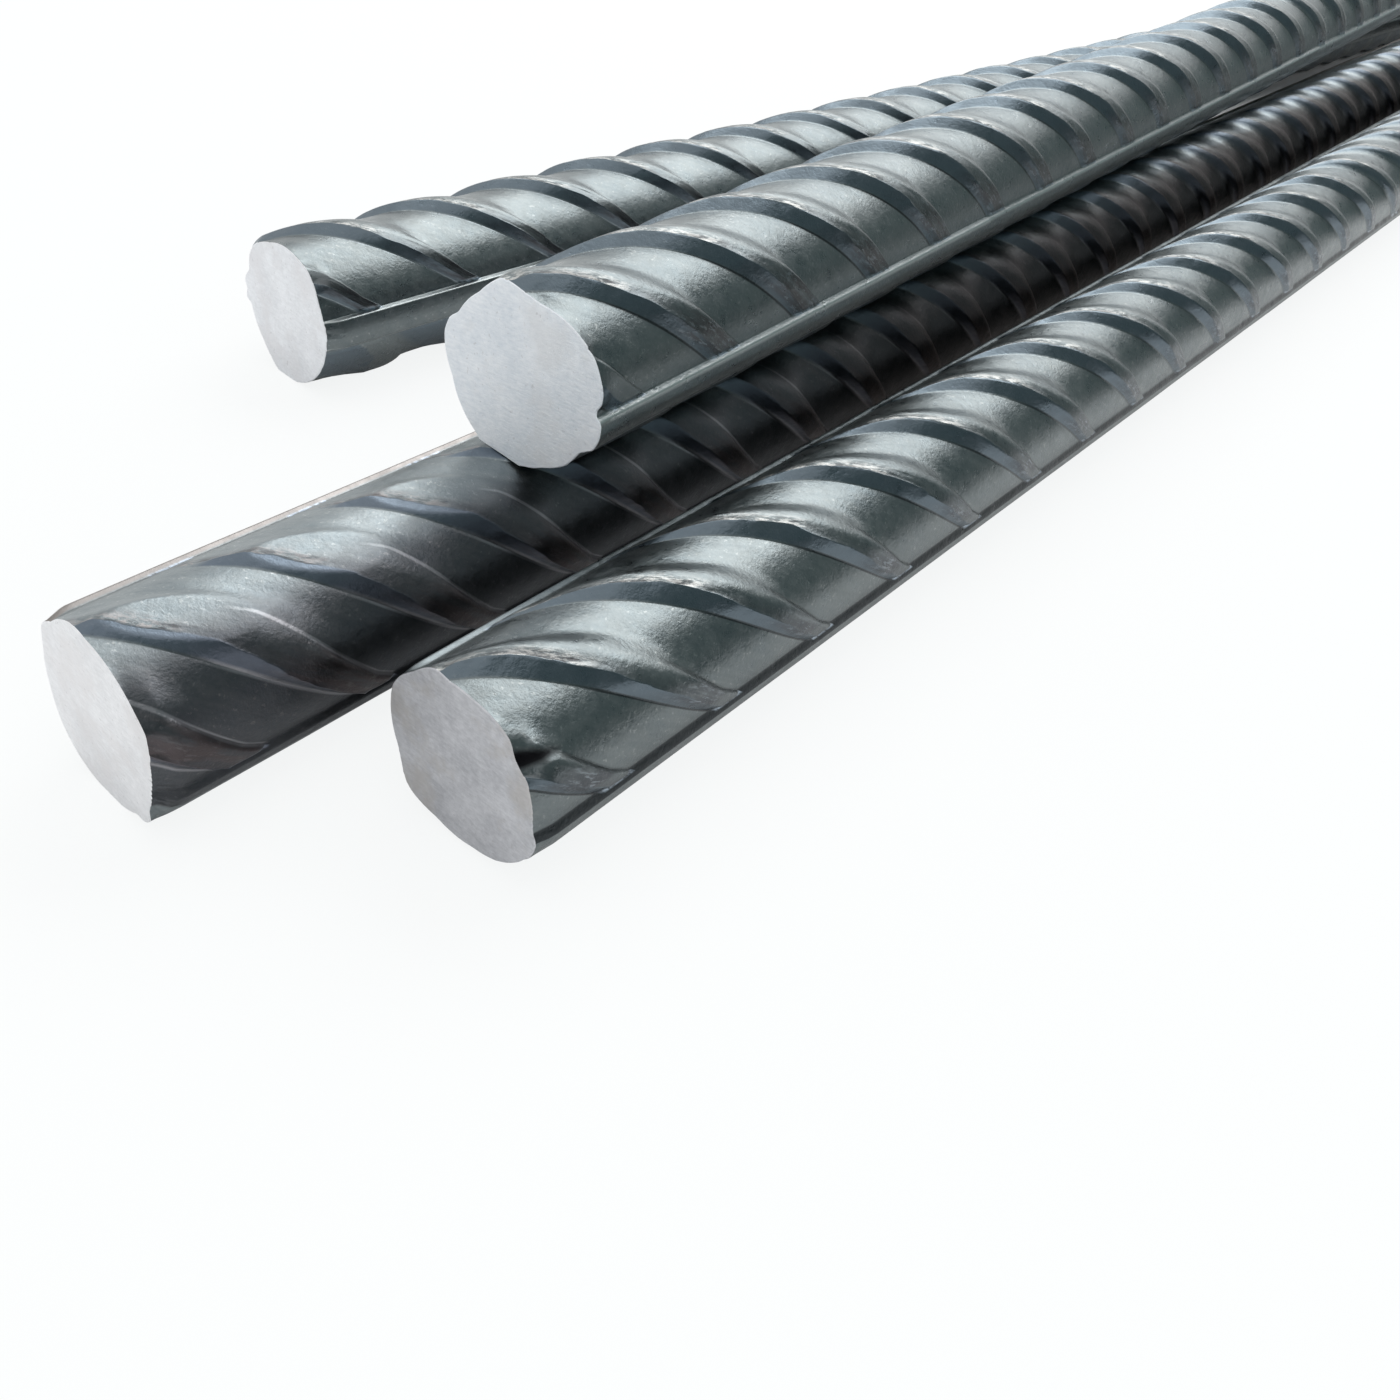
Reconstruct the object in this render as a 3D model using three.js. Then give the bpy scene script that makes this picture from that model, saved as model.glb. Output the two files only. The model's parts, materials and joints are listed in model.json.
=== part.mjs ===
// Four loose reinforcing bars, 32 mm nominal, lying as a small bundle on a level floor.
// Three bars lie side by side on the floor and the fourth lies across two of them.
// Millimetres, +Z up. The bars run along X with their near ends towards -X, and the
// row on the floor runs from the front bar (-Y) to the back bar (+Y). The origin is
// the middle of the bundle's footprint, at floor level.
//
// Each bar is hot-rolled steel of one section: a round core with two smooth
// longitudinal ribs on opposite sides. The small slanted ribs that are rolled in
// between them are surface relief and are not part of these solids.
import * as THREE from 'three';

// ---------------------------------------------------------------- driving sizes
// The bar.
const BAR_LENGTH = 1000;
const CORE_DIAMETER = 31.0;
const RIB_HEIGHT = 1.3;         // longitudinal rib, above the core
const RIB_CREST_WIDTH = 6.2;
const RIB_FOOT_WIDTH = 7.8;
const RIB_FOOT_FILLET = 0.5;    // length of the rounded corner along each side of it
const RIB_CREST_ROUNDING = 0.4;

// How far each near end lies from the front bar's near end, along the bars.
const MIDDLE_BAR_SETBACK = -29.5;
const BACK_BAR_SETBACK = 77.1;

// Clear width between neighbours in the floor row, at their near and far ends. It is
// measured between the circles round the ribs.
const FRONT_GAP_NEAR = 9.9;
const FRONT_GAP_FAR = 3.3;
const BACK_GAP_NEAR = 57.2;
const BACK_GAP_FAR = 3.2;

// The top bar crosses the middle bar and the back bar at these distances from their
// near ends, and its own near end reaches this far past the first crossing.
const CROSSING_ON_MIDDLE_BAR = 186.6;
const CROSSING_ON_BACK_BAR = 876.5;
const TOP_BAR_OVERHANG = 108.0;
const SEAT_GAP = 0.3;

// How each bar lies, in degrees. The roll is the way one longitudinal rib points, above
// the level line towards the front, as seen from the near end. The near ends are
// sheared a little off square: skew puts the back edge of the cut further along the
// bar than the front edge, and lean does the same with its top edge.
const FRONT_BAR = { roll: -21, skew: 2.5, lean: -1.5 };
const MIDDLE_BAR = { roll: -36, skew: 4.5, lean: -0.5 };
const BACK_BAR = { roll: 1.5, skew: 2.5, lean: 1 };
const TOP_BAR = { roll: -15, skew: -2, lean: -0.5 };

const CURVE_SEGMENTS = 10;      // three.js gives a full arc twice this number

// ---------------------------------------------------------------- worked-out sizes
const CORE_RADIUS = CORE_DIAMETER / 2;
const CREST_RADIUS = CORE_RADIUS + RIB_HEIGHT;
const CREST_DIAMETER = 2 * CREST_RADIUS;
const FOOT_HALF_ANGLE = Math.asin(RIB_FOOT_WIDTH / 2 / CORE_RADIUS);
const CREST_HALF_ANGLE = Math.asin(RIB_CREST_WIDTH / 2 / CREST_RADIUS);
const UP = new THREE.Vector3(0, 0, 1);

// ---------------------------------------------------------------- the section
// A point at a radius and an angle, in the plane of the section.
function polar(radius, angle) {
  return new THREE.Vector2(radius * Math.cos(angle), radius * Math.sin(angle));
}

// Draws on to just before a corner, then round it. The corner is the control point.
function roundCorner(shape, before, corner, after) {
  shape.lineTo(before.x, before.y);
  shape.quadraticCurveTo(corner.x, corner.y, after.x, after.y);
}

// The point at a distance from a corner, on the way to another point.
function towards(corner, other, distance) {
  const length = corner.distanceTo(other);
  return corner.clone().lerp(other, distance / length);
}

// One longitudinal rib, drawn counter-clockwise on to a shape that has come round the
// core to it. The flanks are straight, the crest is round about the bar's axis, the
// feet are filleted into the core and the crest's edges are rounded.
function drawRib(shape, centre) {
  const footTurn = RIB_FOOT_FILLET / CORE_RADIUS;
  const crestTurn = RIB_CREST_ROUNDING / CREST_RADIUS;
  const footIn = polar(CORE_RADIUS, centre - FOOT_HALF_ANGLE);
  const crestIn = polar(CREST_RADIUS, centre - CREST_HALF_ANGLE);
  const crestOut = polar(CREST_RADIUS, centre + CREST_HALF_ANGLE);
  const footOut = polar(CORE_RADIUS, centre + FOOT_HALF_ANGLE);

  shape.quadraticCurveTo(footIn.x, footIn.y, ...towards(footIn, crestIn, RIB_FOOT_FILLET));
  const crestStart = centre - CREST_HALF_ANGLE + crestTurn;
  const crestEnd = centre + CREST_HALF_ANGLE - crestTurn;
  roundCorner(shape, towards(crestIn, footIn, RIB_CREST_ROUNDING), crestIn, polar(CREST_RADIUS, crestStart));
  shape.absarc(0, 0, CREST_RADIUS, crestStart, crestEnd, false);
  shape.quadraticCurveTo(crestOut.x, crestOut.y, ...towards(crestOut, footOut, RIB_CREST_ROUNDING));
  const footEnd = polar(CORE_RADIUS, centre + FOOT_HALF_ANGLE + footTurn);
  roundCorner(shape, towards(footOut, crestOut, RIB_FOOT_FILLET), footOut, footEnd);
}

// The whole section: half the core, a rib, the other half and the opposite rib.
function barSection(ribAngle) {
  const footTurn = RIB_FOOT_FILLET / CORE_RADIUS;
  const reach = FOOT_HALF_ANGLE + footTurn;
  const shape = new THREE.Shape();
  for (const half of [0, Math.PI]) {
    const from = ribAngle + half + reach;
    const to = ribAngle + half + Math.PI - reach;
    shape.absarc(0, 0, CORE_RADIUS, from, to, false);
    drawRib(shape, ribAngle + half + Math.PI);
  }
  return shape;
}

// The angle of one rib in the plane of the section, whose x runs to the back and whose
// y runs up, from a roll that is counted from the front.
function ribAngle(rollDegrees) {
  return Math.PI - THREE.MathUtils.degToRad(rollDegrees);
}

// How far the section reaches from its axis straight up or down. Both are alike,
// because the section is the same turned half round.
function verticalReach(rollDegrees) {
  const fromUpright = Math.abs(Math.PI / 2 - Math.abs(THREE.MathUtils.degToRad(rollDegrees)));
  const pastCrest = Math.max(0, fromUpright - CREST_HALF_ANGLE);
  return Math.max(CORE_RADIUS, CREST_RADIUS * Math.cos(pastCrest));
}

// ---------------------------------------------------------------- the bars
// Turns the plane of the near end about its middle. The section's x runs to the back,
// its y runs up and the bar runs along z.
function cutNearEnd(geometry, skewDegrees, leanDegrees) {
  const alongPerX = Math.tan(THREE.MathUtils.degToRad(skewDegrees));
  const alongPerY = Math.tan(THREE.MathUtils.degToRad(leanDegrees));
  const points = geometry.attributes.position;
  for (let i = 0; i < points.count; i += 1) {
    if (points.getZ(i) < BAR_LENGTH / 2) {
      points.setZ(i, alongPerX * points.getX(i) + alongPerY * points.getY(i));
    }
  }
}

// A bar laid from the middle of its near end along a direction.
function layBar(name, { near, direction, roll, skew, lean }) {
  const geometry = new THREE.ExtrudeGeometry(barSection(ribAngle(roll)), {
    depth: BAR_LENGTH,
    steps: 1,
    bevelEnabled: false,
    curveSegments: CURVE_SEGMENTS,
  });
  cutNearEnd(geometry, skew, lean);
  const material = new THREE.MeshStandardMaterial({ color: 0x4b5355, roughness: 0.5, metalness: 0.7 });
  const bar = new THREE.Mesh(geometry, material);
  bar.name = name;
  const across = new THREE.Vector3().crossVectors(UP, direction).normalize();
  const above = new THREE.Vector3().crossVectors(direction, across);
  const turn = new THREE.Matrix4().makeBasis(across, above, direction);
  bar.quaternion.setFromRotationMatrix(turn);
  bar.position.copy(near);
  return bar;
}

// The direction of a level bar whose far end is offset sideways from its near end.
function levelDirection(sideways) {
  const along = Math.sqrt(BAR_LENGTH ** 2 - sideways ** 2);
  return new THREE.Vector3(along, sideways, 0).normalize();
}

// A bar on the floor, from where its two ends lie across the row.
function floorBar(bar, setback, yNear, yFar) {
  return {
    ...bar,
    near: new THREE.Vector3(setback, yNear, verticalReach(bar.roll)),
    direction: levelDirection(yFar - yNear),
  };
}

const middleNear = CREST_DIAMETER + FRONT_GAP_NEAR;
const middleFar = CREST_DIAMETER + FRONT_GAP_FAR;
const backNear = middleNear + CREST_DIAMETER + BACK_GAP_NEAR;
const backFar = middleFar + CREST_DIAMETER + BACK_GAP_FAR;

const front = floorBar(FRONT_BAR, 0, 0, 0);
const middle = floorBar(MIDDLE_BAR, MIDDLE_BAR_SETBACK, middleNear, middleFar);
const back = floorBar(BACK_BAR, BACK_BAR_SETBACK, backNear, backFar);

// The point of the top bar's axis where it rests on a bar below it.
function seatAbove(lower, distance) {
  const seat = lower.near.clone().addScaledVector(lower.direction, distance);
  seat.z += verticalReach(lower.roll) + SEAT_GAP + verticalReach(TOP_BAR.roll);
  return seat;
}

const firstSeat = seatAbove(middle, CROSSING_ON_MIDDLE_BAR);
const secondSeat = seatAbove(back, CROSSING_ON_BACK_BAR);
const topDirection = secondSeat.clone().sub(firstSeat).normalize();
const top = {
  ...TOP_BAR,
  near: firstSeat.clone().addScaledVector(topDirection, -TOP_BAR_OVERHANG),
  direction: topDirection,
};

// ---------------------------------------------------------------- the bundle
const bundle = new THREE.Group();
bundle.add(layBar('bar_front', front));
bundle.add(layBar('bar_middle', middle));
bundle.add(layBar('bar_back', back));
bundle.add(layBar('bar_top', top));

// The origin goes to the middle of the footprint, on the floor.
const box = new THREE.Box3().setFromObject(bundle, true);
const middleOfFootprint = box.getCenter(new THREE.Vector3());
bundle.position.set(-middleOfFootprint.x, -middleOfFootprint.y, -box.min.z);

const group = new THREE.Group();
group.add(bundle);
export default group;
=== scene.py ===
"""A loose bundle of four ribbed reinforcing bars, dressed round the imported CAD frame.

Each bar of the frame is a plain core with two longitudinal ribs. Here each one gets the
surface it was rolled with: slanted ribs in two rows, torn crests, mill scale and sheared
ends. Bar surfaces are worked out in millimetres and placed in metres.

A place on a bar is given by its distance along the bar from the near end and by its turn,
in degrees round the bar above the level line towards the front, seen from the near end.
"""

import json
import math

import bmesh
import bpy
import numpy as np
from mathutils import Matrix, Vector


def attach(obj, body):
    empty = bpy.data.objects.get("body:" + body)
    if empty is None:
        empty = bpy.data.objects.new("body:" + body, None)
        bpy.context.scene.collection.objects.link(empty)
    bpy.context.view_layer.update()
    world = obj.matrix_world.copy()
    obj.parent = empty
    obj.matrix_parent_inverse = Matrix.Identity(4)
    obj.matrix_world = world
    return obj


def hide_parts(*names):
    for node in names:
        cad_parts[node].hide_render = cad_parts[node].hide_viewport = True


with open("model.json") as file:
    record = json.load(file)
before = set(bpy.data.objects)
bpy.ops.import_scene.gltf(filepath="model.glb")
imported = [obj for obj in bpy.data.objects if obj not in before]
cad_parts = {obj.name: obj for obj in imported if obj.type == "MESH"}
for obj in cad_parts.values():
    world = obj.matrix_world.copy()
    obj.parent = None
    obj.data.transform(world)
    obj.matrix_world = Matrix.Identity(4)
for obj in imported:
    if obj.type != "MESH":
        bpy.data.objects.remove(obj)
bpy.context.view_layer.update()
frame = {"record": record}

MM = 0.001                     # metres in a millimetre

# ------------ the rolled section, mm
CORE_RADIUS = 15.5
CREST_RADIUS = 16.55           # of the longitudinal ribs, at the edges of their crests
CREST_HALF_TURN = 10.4         # degrees, half of a longitudinal rib's crest
SIDE_TURN = 2.9                # degrees, each side of a longitudinal rib
PLAIN_CROWN = 0.1              # how much higher the middle of a crest is than its edges
CREST_ROUNDING = 0.09          # smooths the crest's edges
FOOT_ROUNDING = 0.12           # smooths where two forms meet

# ------------ the slanted ribs, mm
RIB_HEIGHT = 2.0               # in the middle of a row
RIB_WIDTH = 13.3               # along the bar, in the middle of a row
WIDEST_TURN = 4.0              # degrees above the upper row's middle
NEAR_FLANK = 0.31              # share of the width: a steep, even slope
CREST = 0.25                   # share of the width: the torn top
WIDTH_TAPER = 1.2              # how late the width falls off towards the ends of a row
FAIRED = (25.0, 60.0)          # degrees past the low rib: from a far step to a far fairing
RIB_DROP = 3.5                 # degrees over which a rib's end drops
CREST_BAND = 4.4               # mm past the crest's edge that are worn and torn
SHADED_FRONT_TURNS = (45.0, 78.0)     # the painted shade on a bar's front side ends between these turns
EDGE_WANDER = 0.035            # share of the width by which the near flank's edge strays
REFERENCE_TURN = 70.0          # where the first upper rib is measured
STEEP_END = 0.6                # share of a near flank's width that goes with its height,
                               # in the upper half of an upper row
TAPER_MARGIN = 10.0            # degrees short of a row's end where its ribs are narrowest
END_ON_SIDE = 0.4              # share of a longitudinal rib's side above slanted ribs' ends
LEAST_GAP = 1.0                # between two slanted ribs
TORN_DEPTH = 0.34              # of the hollows in a torn crest
TORN_LESS = 0.8                # share of them left out on the front side that has painted shade
HEIGHT_SPREAD = 0.25           # share by which a rib's height varies
SWELL, RIPPLE = 0.10, 0.012    # how far the core is out of round, broadly and finely
RIB_APART = 40.0               # shift of the surface's texture from rib to rib

# How each bar was rolled and how it lies, in mm and in degrees round the bar.
# Longitudinal ribs: low and high are the turns of the two. ledge and ledge_under are half
# the crest and one side of the low one, above it and below it, and crown is how much
# higher its middle is than its edges. side is where the low rib's side, painted shade on
# the front and middle bars and a painted highlight on the back and top bars, starts and
# ends, past the rib's foot.
# Slanted ribs: slant is their advance for each degree at the reference turn, and bend is how
# much that grows for each degree below it. first is where the near foot of an upper rib
# crosses the reference turn, and pitch is from one rib to the next. fade is the height of
# an upper rib at its high end and the turns between which it falls to that. stretch is how
# far a full fairing runs on past the far foot, in widths of the far flank. plain_first says
# that the upper rib cut off by the near end has neither a worn crest nor a pad.
# pad is what an upper rib is like where it meets the low rib: its width and height, the
# shares of its width where its near flank ends and its far flank starts, and the degrees
# over which its height and its shares get to be so. plain_tip is how far past the low
# rib's foot the pad's own colours start to be full.
# Lower row: under is the turn at which the crest of a rib meets the near cut, and
# under_reach is how far from the low rib a rib takes the form of UNDER_PAD.
PLAIN_BAR = dict(stretch=0.75, plain_first=False, under_reach=60.0)
BARS = {
    "bar_front": dict(
        PLAIN_BAR, low=-21.5, high=151.0, ledge=(7.6, 5.6), ledge_under=(7.6, 5.6),
        crown=0.05, side=(-6.3, 1.0), slant=0.34, bend=0.0012, first=9.1, pitch=27.35,
        fade=(0.4, 88, 124), plain_tip=12.0, under=223.0, seed=11,
        pad=dict(width=7.7, height=0.85, near=0.36, far=0.75, rise=42.0, reach=62.0)),
    "bar_middle": dict(
        PLAIN_BAR, low=-35.0, high=139.5, ledge=(9.5, 4.3), ledge_under=(18.5, 4.0),
        crown=0.1, side=(-5.0, 1.0), slant=0.27, bend=0.0014, first=4.3, pitch=25.3,
        fade=(0.1, 80, 110), stretch=1.4, plain_tip=4.0, under=233.0, seed=23,
        pad=dict(width=8.0, height=1.0, near=0.18, far=0.68, rise=45.0, reach=95.0)),
    "bar_back": dict(
        PLAIN_BAR, low=1.5, high=178.0, ledge=(11.2, 1.7), ledge_under=(11.2, 1.7),
        crown=0.2, side=(-2.2, 0.0), slant=0.325, bend=0.0018, first=16.4, pitch=28.8,
        fade=(1.4, 130, 165), plain_tip=3.0, under=328.0, under_reach=110.0, seed=37,
        pad=dict(width=6.3, height=0.9, near=0.45, far=0.9, rise=35.0, reach=55.0)),
    "bar_top": dict(
        PLAIN_BAR, low=-15.0, high=167.5, ledge=(10.4, 2.9), ledge_under=(10.4, 2.9),
        crown=0.38, side=(-5.0, -1.5), slant=0.335, bend=0.0003, first=6.6, pitch=28.4,
        fade=(0.9, 95, 140), plain_first=True, plain_tip=3.0, under=252.0, seed=51,
        pad=dict(width=9.9, height=0.75, near=0.42, far=0.93, rise=52.0, reach=68.0)),
}
UNDER_PAD = dict(width=38.0, near=0.7, far=0.75)   # the low ends of the lower row's ribs
UNDER_HEIGHT = 0.4             # of the lower row's ribs at their ends

# The outline of each sheared near end, as turns and radii. The shear has pressed parts
# of the rim in and drawn others out.
NEAR_OUTLINES = {
    "bar_front": (
        (-180, 15.4), (-162, 14.9), (-151, 15.5), (-137, 17.0), (-130, 16.7), (-112, 15.1),
        (-80, 14.7), (-61, 15.4), (-34, 15.9), (-22, 16.2), (-14.5, 16.0), (-8, 14.9), (0, 14.6),
        (27, 14.9), (34, 14.4), (40, 14.3), (45, 14.9), (51, 15.8), (62, 15.8), (80, 15.2),
        (99, 15.4), (109, 16.6), (129, 15.8), (155, 16.3)),
    "bar_middle": (
        (-180, 14.6), (-166, 14.9), (-150, 15.9), (-127, 16.6), (-101, 15.9), (-62, 15.4),
        (-56, 16.6), (-47, 16.4), (-43, 15.0), (-34, 14.4), (-21, 13.7), (-6, 13.8), (6, 14.2),
        (21, 15.5), (25, 16.0), (36, 15.6), (84, 15.5), (99, 16.1), (127, 15.2), (141, 16.0),
        (151, 15.2), (160, 14.6)),
    "bar_back": (
        (-173, 16.1), (-168, 14.3), (-135, 14.1), (-111, 15.5), (-101, 16.3), (-75, 15.5),
        (-38, 15.3), (7, 15.4), (14, 14.9), (28, 14.8), (51, 16.0), (57, 16.1), (71, 15.6),
        (90, 15.4), (109, 15.1), (130, 16.0), (140, 16.3), (148, 16.0), (160, 15.0), (173, 16.4),
        (179, 15.3)),
    "bar_top": (
        (-180, 16.6), (-163, 15.7), (-126, 16.6), (-111, 17.9), (-101, 17.6), (-88, 16.0),
        (-71, 15.3), (-50, 15.6), (-34, 15.1), (-26, 16.7), (-17, 17.0), (-5.5, 16.6), (-4, 15.5),
        (1, 15.4), (5, 16.3), (12, 16.8), (34, 16.9), (78, 14.7), (92, 15.3), (106, 16.8),
        (127, 15.4), (152, 15.5), (160, 16.7), (170, 17.0)),
}
OUTLINE_SOFTENING = 1.2        # degrees
OUTLINE_REACH = 3.5            # mm from the cut over which the bar regains its section

# A tear in the front bar's rim, mm: it starts at the cut and narrows along the bar.
TEAR_BAR = "bar_front"
TEAR_TURN, TEAR_DRIFT = 39.5, -0.9         # its middle, and degrees for each mm along
TEAR_HALF_TURN, TEAR_LENGTH, TEAR_DEPTH = 8.0, 8.5, 0.65
TEAR_STEEPNESS = 1.6           # of its walls
TEAR_SINKS = 2.5               # from the cut, over which it gets to be so deep

# ------------ the mesh
# Three stretches from the near end, each with how many ribs it has, the mesh lines over
# a rib's near flank, crest and far flank and over the core beyond it, the columns over
# the upper and the lower row, and those over half a longitudinal crest and its side.
STRETCHES = (
    dict(ribs=4, lines=(8, 8, 10, 15), columns=(92, 50), crest=5, side=6),
    dict(ribs=10, lines=(4, 5, 6, 8), columns=(50, 34), crest=3, side=3),
    dict(ribs=1000, lines=(2, 3, 4, 3), columns=(26, 20), crest=2, side=2),
)
END_CLUSTER = 0.3              # how much closer the columns are at the ends of a row
END_SLACK = 3.0                # mm that the tube runs past each cut
NO_LINE = 5.0                  # mm, so far from a rib's foot that no line is drawn
PAD_FADE, SIDE_FADE = 6.0, 0.7 # degrees over which the pad and side marks start
SEAM_TURN = 1.4                # degrees kept free along each seam for its strip
EDGE_BREAK = 0.18              # mm, the worn edge of a cut end
SEAT_CLEARANCE = 0.05          # mm, from each of two bars to the surface halfway
FLOOR_CLEARANCE = 0.02         # mm
DEEPEST_DENT = 0.02            # mm that a bar may be flattened below its core
BESIDE = 1.0                   # mm beyond a bar's ribs that still counts as against it
CUT_RINGS = (1.0, 0.94, 0.8, 0.6, 0.38, 0.16)      # rings of a cut face, as shares of it
ON_PLANE = 1e-6                # m


# ------------ small helpers
def value_noise(x, y, seed):
    """Smooth noise from 0 to 1 at points of a plane, the same in every run."""
    x, y = np.broadcast_arrays(x, y)
    x0, y0 = np.floor(x), np.floor(y)
    u, v = x - x0, y - y0
    u, v = u * u * (3 - 2 * u), v * v * (3 - 2 * v)

    def corner(dx, dy):
        ix = (x0 + dx).astype(np.int64)
        iy = (y0 + dy).astype(np.int64)
        n = (ix * 374761393 + iy * 668265263 + seed * 974711) & 0xFFFFFFFF
        n = ((n ^ (n >> 13)) * 1274126177) & 0xFFFFFFFF
        return ((n ^ (n >> 16)) & 0xFFFF) / 65535.0

    low = corner(0, 0) * (1 - u) + corner(1, 0) * u
    high = corner(0, 1) * (1 - u) + corner(1, 1) * u
    return low * (1 - v) + high * v


def smooth_max(a, b, rounding):
    """The larger of two heights, with the corner between them filled."""
    h = np.clip(0.5 + 0.5 * (a - b) / rounding, 0, 1)
    return b + (a - b) * h + rounding * h * (1 - h)


def smooth_min(a, b, rounding):
    return -smooth_max(-a, -b, rounding)


def smooth_step(x):
    x = np.clip(x, 0, 1)
    return x * x * (3 - 2 * x)


def eased(count):
    """Numbers from 0 up to but not 1, closer together at both ends."""
    return (1 - np.cos(np.pi * np.arange(count) / count)) / 2


# ------------ where the bars lie
mounts = {m["name"]: m for m in frame["record"]["mounts"]}


class Axis:
    """The line of a bar, from the middle of its near end, with its level and upright."""

    def __init__(self, node):
        self.near = np.array(mounts[node + "_near_end"]["pos_m"]) / MM
        self.far = np.array(mounts[node + "_far_end"]["pos_m"]) / MM
        self.near_cut = -np.array(mounts[node + "_near_end"]["axis"])
        self.length = np.linalg.norm(self.far - self.near)
        self.along = (self.far - self.near) / self.length
        back = np.cross([0, 0, 1], self.along)
        self.front = -back / np.linalg.norm(back)
        self.above = np.cross(self.along, -self.front)

    def outward(self, turn):
        angle = np.radians(turn)
        out = np.multiply.outer(np.cos(angle), self.front)
        return out + np.multiply.outer(np.sin(angle), self.above)

    def place(self, along, turn, radius):
        """Points in the frame, from distances along the bar, turns and radii."""
        out = self.outward(turn)
        return self.near + np.multiply.outer(along, self.along) + radius[..., None] * out

    def near_cut_along(self, turn):
        """How far along the bar the near cut lies, on the core at each turn."""
        return -CORE_RADIUS * (self.outward(turn) @ self.near_cut) / (self.along @ self.near_cut)

    def offset(self, points):
        """The vector from the bar's line to each point, square to the line."""
        v = points - self.near
        return v - np.multiply.outer(v @ self.along, self.along)


AXES = {node: Axis(node) for node in BARS}
RESTS_ON = {"bar_top": ("bar_middle", "bar_back")}


# ------------ the rolled surface
class Row:
    """One of a bar's two rows of slanted ribs, between two longitudinal ribs."""

    def __init__(self, node, upper):
        self.node = node
        self.bar = BARS[node]
        self.upper = upper
        low, high = self.bar["low"], self.bar["high"]
        self.start, self.end = (low, high) if upper else (high, low + 360)
        self.ledge = self.bar["ledge" if upper else "ledge_under"]
        high_ledge = (CREST_HALF_TURN, SIDE_TURN)
        self.ledges = (self.ledge, high_ledge) if upper else (high_ledge, self.ledge)
        self.middle = (self.start + self.end) / 2
        self.half = (self.end - self.start) / 2 - CREST_HALF_TURN
        self.reference = REFERENCE_TURN if upper else self.bar["under"]
        crest_middle = (NEAR_FLANK + CREST / 2) * RIB_WIDTH
        self.first = self.bar["first"] if upper else -crest_middle

    def columns(self, stretch):
        """The turns of the mesh columns, close together on the longitudinal ribs."""
        edges = []
        for crest_half, side_turn in self.ledges:
            crest = SEAM_TURN + (crest_half - SEAM_TURN) * eased(stretch["crest"])
            side = crest_half + side_turn * np.linspace(0, 1.15, stretch["side"] + 1)
            edges.append(np.concatenate([crest, side]))
        count = stretch["columns"][0 if self.upper else 1]
        x = np.linspace(0, 1, count)[1:-1]
        x = x - END_CLUSTER * np.sin(2 * np.pi * x) / (2 * np.pi)
        first, last = self.start + edges[0][-1], self.end - edges[1][-1]
        return np.concatenate([self.start + edges[0], first + (last - first) * x,
                               self.end - edges[1][::-1]])

    def past_low(self, turn):
        """Degrees from the low rib's foot, into the row."""
        middle = self.start if self.upper else self.end
        return np.abs(turn - middle) - sum(self.ledge)

    def end_reach(self, turn):
        """Degrees from where a slanted rib's ends are down to the core."""
        stops = [half + END_ON_SIDE * side for half, side in self.ledges]
        return np.minimum(turn - self.start - stops[0], self.end - stops[1] - turn)

    def crossing(self, turn):
        """How far along the near foot of a rib lies, and the rib's width and height."""
        past = self.reference - turn
        advance = self.bar["slant"] * past + self.bar["bend"] * past ** 2 / 2
        if self.upper:
            pad = self.bar["pad"]
            faded, fade_start, fade_end = self.bar["fade"]
            outward = np.abs(turn - self.middle - WIDEST_TURN) / (self.half - TAPER_MARGIN)
            rise = smooth_step(self.past_low(turn) / pad["rise"])
            fall = smooth_step((turn - fade_start) / (fade_end - fade_start))
            height = pad["height"] + (RIB_HEIGHT - pad["height"]) * rise
            height = height - (RIB_HEIGHT - faded) * fall
        else:
            pad = UNDER_PAD
            outward = np.abs(turn - self.middle) / self.half
            fall = smooth_step(1.8 * outward - 0.2)
            height = RIB_HEIGHT - (RIB_HEIGHT - UNDER_HEIGHT) * fall
            outward = outward * (turn > self.middle)
        outward = np.clip(outward, 0, 1)
        width = RIB_WIDTH - (RIB_WIDTH - pad["width"]) * outward ** WIDTH_TAPER
        return self.first + advance, np.minimum(width, self.bar["pitch"] - LEAST_GAP), height

    def lowness(self, turn):
        """1 where a slanted rib meets the low rib, falling to 0 up the row."""
        reach = self.bar["pad"]["reach"] if self.upper else self.bar["under_reach"]
        return 1 - smooth_step(self.past_low(turn) / reach)

    def form(self, turn, height):
        """The shares where a rib's near flank ends and its far flank starts, and how far
        that far flank is a fairing and not a step."""
        pad = self.bar["pad"] if self.upper else UNDER_PAD
        lowness = self.lowness(turn)
        high_up = (turn > self.middle) & self.upper
        near = NEAR_FLANK * np.where(high_up, 1 - STEEP_END * (1 - height / RIB_HEIGHT), 1)
        near = near + (pad["near"] - near) * lowness
        far = NEAR_FLANK + CREST + (pad["far"] - NEAR_FLANK - CREST) * lowness
        fairing = smooth_step((self.past_low(turn) - FAIRED[0]) / (FAIRED[1] - FAIRED[0]))
        if not self.upper:
            fairing = fairing * (1 - lowness)
        return near, far, fairing

    def rib_numbers(self, stretch_number):
        """The ribs of one stretch. The first one near the near end is number 0."""
        foot, _, _ = self.crossing(np.array([self.start, self.end]))
        pitch = self.bar["pitch"]
        first = math.floor((-END_SLACK - foot.max()) / pitch)
        last = math.ceil((AXES[self.node].length + END_SLACK - foot.min()) / pitch)
        begin = sum(s["ribs"] for s in STRETCHES[:stretch_number])
        stop = begin + STRETCHES[stretch_number]["ribs"]
        return np.arange(first if stretch_number == 0 else begin, min(stop, last + 1))


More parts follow.
